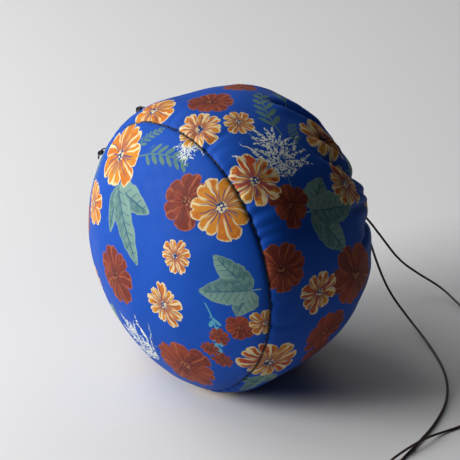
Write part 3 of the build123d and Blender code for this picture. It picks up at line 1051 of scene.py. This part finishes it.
def tie_knot_routes():
    """Routes of the wound loops and the two short cut tails of thread at each tie-off."""
    draws = np.random.default_rng(9)
    routes = []
    for offset, degrees in TIE_KNOTS:
        turn = math.radians(degrees)
        arc = np.array([SEAM_ARC + offset]) if offset < 0 else np.array([offset])
        x, out = (end_profile if offset < 0 else side_profile)(arc)
        radial = Vector((0, math.sin(turn), math.cos(turn)))
        centre = Vector((x[0], 0, AXIS_Z)) + radial * (out[0] + TIE_KNOT_RADIUS * 0.75)
        round_run = Vector((0, math.cos(turn), -math.sin(turn)))
        wide = TIE_KNOT_RADIUS - TIE_THREAD_RADIUS
        loops = []
        for step in range(TIE_LOOP_POINTS):
            spin = step * TIE_LOOP_STEP
            lean = 0.9 * math.sin(step * 0.7)
            loops.append(
                centre + wide * (math.cos(spin) * round_run + math.sin(spin) * radial * 0.8)
                + Vector((wide * lean, 0, 0))
            )
        routes.append(loops)
        for way in (-1, 1):
            aside = Vector((draws.uniform(-1, 1) * 0.0008, 0, 0))
            bend = centre + 0.0016 * (round_run * way + radial * 0.5)
            routes.append([centre, bend, centre + 0.0034 * round_run * way + aside - radial * 0.0006])
    return routes


tie_knots = curve_piece("thread_tie_off_knots", tie_knot_routes(), TIE_THREAD_RADIUS, 12, 2)
attach(tie_knots, "thread_tie_knots", black_thread)

# ---- hem round the mouth
HEM_PROFILE = [         # X and radius in mm, from inside the side wall, round the front, into the mouth
    (41.5, 7.6), (43.5, 8.3), (45.5, 8.9), (47.5, 9.1), (49.3, 9.2), (50.8, 9.3), (51.9, 9.1), (52.5, 8.3),
    (52.6, 7.3), (52.4, 6.2), (51.9, 5.2), (50.9, 4.4), (49.4, 3.9), (47.4, 3.7), (45.0, 3.7), (42.0, 3.9),
]
HEM_RINGS = 64
HEM_PLEATS = 34
HEM_PLEAT_DEPTH = 0.0011
HEM_CLOTH_LENGTH = 0.024     # of cloth along the profile
HEM_PRINT_START = 300        # mm along the print, past its motifs, so that the hem is plain


def hem_mesh():
    """The bunched double hem: fine pleats round the mouth, deepest where the cord draws them in."""
    profile = np.array(HEM_PROFILE) / 1000
    steps = np.linspace(0, len(profile) - 1, HEM_RINGS)
    x = np.interp(steps, np.arange(len(profile)), profile[:, 0])
    out = np.interp(steps, np.arange(len(profile)), profile[:, 1])
    for _ in range(3):
        x[1:-1] = (x[:-2] + 2 * x[1:-1] + x[2:]) / 4
        out[1:-1] = (out[:-2] + 2 * out[1:-1] + out[2:]) / 4
    draws = np.random.default_rng(13)
    uneven = sum(draws.uniform(0.02, 0.06) * np.sin(k * turns + draws.uniform(0, 6)) for k in (2, 3, 5, 7))
    pleats = 1 - np.abs(np.sin(HEM_PLEATS / 2 * (turns + uneven))) ** 0.7
    strength = 0.75 + 0.25 * np.sin(5 * turns + 1.0)
    places = ring_grid(x, out, turns)
    along = np.gradient(np.stack([x, out], axis=1), axis=0)
    along /= np.linalg.norm(along, axis=1)[:, None]
    facing = np.stack([along[:, 1], -along[:, 0]], axis=1)
    depth = HEM_PLEAT_DEPTH * (0.55 + 0.45 * np.sin(np.linspace(0, math.pi, HEM_RINGS)))
    shift = -np.outer(depth, pleats * strength)
    places[:, :, 0] += shift * facing[:, :1]
    places[:, :, 1] += shift * facing[:, 1:] * np.sin(turns)
    places[:, :, 2] += shift * facing[:, 1:] * np.cos(turns)
    return places, steps / (len(profile) - 1) * HEM_CLOTH_LENGTH


hem_places, hem_arcs = hem_mesh()
hem_cloth = mesh_piece("mouth_hem_ruffle", hem_places, ring_quads(HEM_RINGS, COLUMNS)[:, ::-1])
hem_corners = wall_corners(hem_arcs)[:, ::-1].reshape(-1, 2) + (0, HEM_PRINT_START)
print_panel(hem_cloth, hem_corners, [4] * (len(hem_corners) // 4), SIDE_PRINT, NO_REPEAT, 51)
attach(hem_cloth, "mouth_hem", printed_cloth)

# ---- cord tails and the knot that joins them
KNOT_FACE = (-0.018, -0.10365, 0.002)
KNOT_SIZE = 0.00072
KNOT_POINTS = 22
SECOND_STRAND = Vector((0.0004, 0.0003, 0.0006))        # from the first strand of the knot


def cut_end(side):
    """One of the two short ends beyond the knot."""
    x, y, z = KNOT_FACE
    return [
        (x - 0.003, y + side * 0.0004, z + 0.0002),
        (x - 0.006, y + side * 0.0009, z - 0.0004),
        (x - 0.009, y + side * 0.0016, z - 0.0012),
        (x - 0.0115, y + side * 0.0026, z - 0.0014),
    ]


def knot_route(shift):
    """One strand of the overhand knot, centred just past the face that the tails go into."""
    x, y, z = KNOT_FACE
    centre = Vector((x - 0.0026, y, z + 0.0003))
    route = []
    for step in range(KNOT_POINTS):
        turn = 2 * math.pi * step / (KNOT_POINTS - 1)
        route.append(centre + shift + KNOT_SIZE * Vector((
            math.cos(turn) - 2 * math.cos(2 * turn),
            (math.sin(turn) + 2 * math.sin(2 * turn)) * 0.8,
            -math.sin(3 * turn) * 1.5,
        )))
    return route


def cord_piece(name, *routes):
    """Cord along one route, or along several that are one piece."""
    return curve_piece(name, routes, CORD_DIAMETER / 2, 10, 3)


long_tail = cord_piece("drawcord_long_tail_cord", LONG_TAIL)
short_tail = cord_piece("drawcord_short_tail_cord", SHORT_TAIL)
knot_strands = [knot_route(Vector((0, 0, 0))), knot_route(SECOND_STRAND), cut_end(-1), cut_end(1)]
end_knot = cord_piece("drawcord_overhand_knot", *knot_strands)
attach(long_tail, "drawcord_long_tail", waxed_cord)
attach(short_tail, "drawcord_short_tail", waxed_cord)
attach(end_knot, "drawcord_end_knot", waxed_cord)
attach(end_cover, "end_panel", printed_cloth)
attach(side_cover, "side_panel", printed_cloth)
ring_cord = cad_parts["drawcord_in_hem"]
ring_cord.data.materials.clear()
ring_cord.data.materials.append(waxed_cord)

# ---- inner bag and filling
BAG_INSET = 0.0019
BAG_SEAM_OFFSET = 0.006
BAG_STITCHES = 90
BAG_STITCH_RADIUS = 0.00025
BAG_STITCH_LENGTH = 0.0024
BAG_STITCH_LIFT = 0.0002
BAG_STITCH_SPREAD = 0.1
FILLING_INSET = 0.0024


def inner_rows(inset):
    """The whole ball's rings, from the crown to the mouth, moved in from the cover."""
    end_rows = end_places - inset * end_normals
    side_rows = side_places[1:] - inset * side_normals[1:]
    return rest_on_floor(np.concatenate([end_rows, side_rows]), inset)


def closed_rings(name, rows):
    """A closed piece from rings, with a cap at each end."""
    points = np.concatenate([rows.reshape(-1, 3), rows[0].mean(axis=0)[None], rows[-1].mean(axis=0)[None]])
    last = len(rows) * COLUMNS
    caps = [*fan(0, last), *fan(last - COLUMNS, last + 1, turned=True)]
    return mesh_piece(name, points, [*ring_quads(len(rows), COLUMNS), *caps])


def lining_material(name, dark, light, scale, woven):
    """Plain undyed stuff: woven for the bag, tangled fibres for the filling."""
    material, tree, shader = new_material(name)
    place = Socket(tree, new_node(tree, "ShaderNodeTexCoord").outputs["Object"])
    grain = noise(place, scale, 5.0)
    if woven:
        x, y, z = split(place)
        grain = grain * 0.6 + weave(x, y + z, 0.0005) * 0.2 + 0.1
    surface(shader, mix(ease(grain, 0.3, 0.7), paint(*dark), paint(*light)), grain, 0.4, 0.0003)
    shader.inputs["Roughness"].default_value = 0.9
    return material


bag_rows = inner_rows(BAG_INSET)
bag_seam_ring = int(np.abs(end_panel_arc - (SEAM_ARC - BAG_SEAM_OFFSET)).argmin())
bag_end_points = np.concatenate([bag_rows[:bag_seam_ring + 1].reshape(-1, 3), bag_rows[0].mean(axis=0)[None]])
bag_end_faces = [*ring_quads(bag_seam_ring + 1, COLUMNS), *fan(0, len(bag_end_points) - 1)]
inner_cloth = lining_material("inner_cloth", (196, 190, 176), (224, 219, 206), 900.0, True)
bag_end = mesh_piece("inner_bag_end_cloth", bag_end_points, bag_end_faces)
bag_wall_rows = bag_rows[bag_seam_ring:]
bag_wall = mesh_piece("inner_bag_wall_cloth", bag_wall_rows, ring_quads(len(bag_wall_rows), COLUMNS))
attach(bag_end, "inner_bag_end", inner_cloth)
attach(bag_wall, "inner_bag_wall", inner_cloth)
bag_row = bag_rows[bag_seam_ring]
bag_line = round_seam(bag_row, bag_row, BAG_STITCHES, BAG_STITCH_LIFT, BAG_STITCH_SPREAD)
bag_seam = stitches("inner_bag_stitches", *bag_line, BAG_STITCH_RADIUS, BAG_STITCH_LENGTH)
attach(bag_seam, "inner_bag_thread", white_thread)
filling = closed_rings("fibre_filling_mass", inner_rows(FILLING_INSET)[::2])
fibres = lining_material("fibre_filling", (214, 212, 206), (240, 239, 235), 320.0, False)
attach(filling, "filling", fibres)

# ---- floor and light
FLOOR_SIZE = 4.0


def floor_material():
    material, _, shader = new_material("pale_floor")
    shader.inputs["Base Color"].default_value = (0.68, 0.68, 0.683, 1)
    shader.inputs["Roughness"].default_value = 0.85
    shader.inputs["Specular IOR Level"].default_value = 0.2
    return material


bpy.ops.mesh.primitive_plane_add(size=FLOOR_SIZE)
floor = bpy.context.object
floor.name = "floor"
floor.data.materials.append(floor_material())


def area_light(name, size, power, turn, rise, distance):
    """A soft light aimed at the ball, at a turn from the camera's own and a height in degrees."""
    data = bpy.data.lights.new(name, "AREA")
    data.size = size
    data.energy = power
    light = bpy.data.objects.new(name, data)
    turned = VIEW_TURN + math.radians(turn)
    flat = math.cos(math.radians(rise))
    away = Vector((math.sin(turned) * flat, -math.cos(turned) * flat, math.sin(math.radians(rise))))
    light.location = ball_middle + distance * away
    light.rotation_euler = away.to_track_quat("Z", "Y").to_euler()
    bpy.context.scene.collection.objects.link(light)


area_light("window", 0.50, 14.4, -77, 22, 1.0)
area_light("window_behind", 0.80, 6.2, -120, 44, 1.0)
area_light("far_wall", 1.20, 2.3, 178, 52, 1.2)

world = bpy.data.worlds.new("studio")
world.use_nodes = True
world.node_tree.nodes["Background"].inputs["Color"].default_value = (0.92, 0.95, 1.0, 1)
world.node_tree.nodes["Background"].inputs["Strength"].default_value = 0.02
bpy.context.scene.world = world
bpy.context.scene.view_settings.view_transform = "Standard"
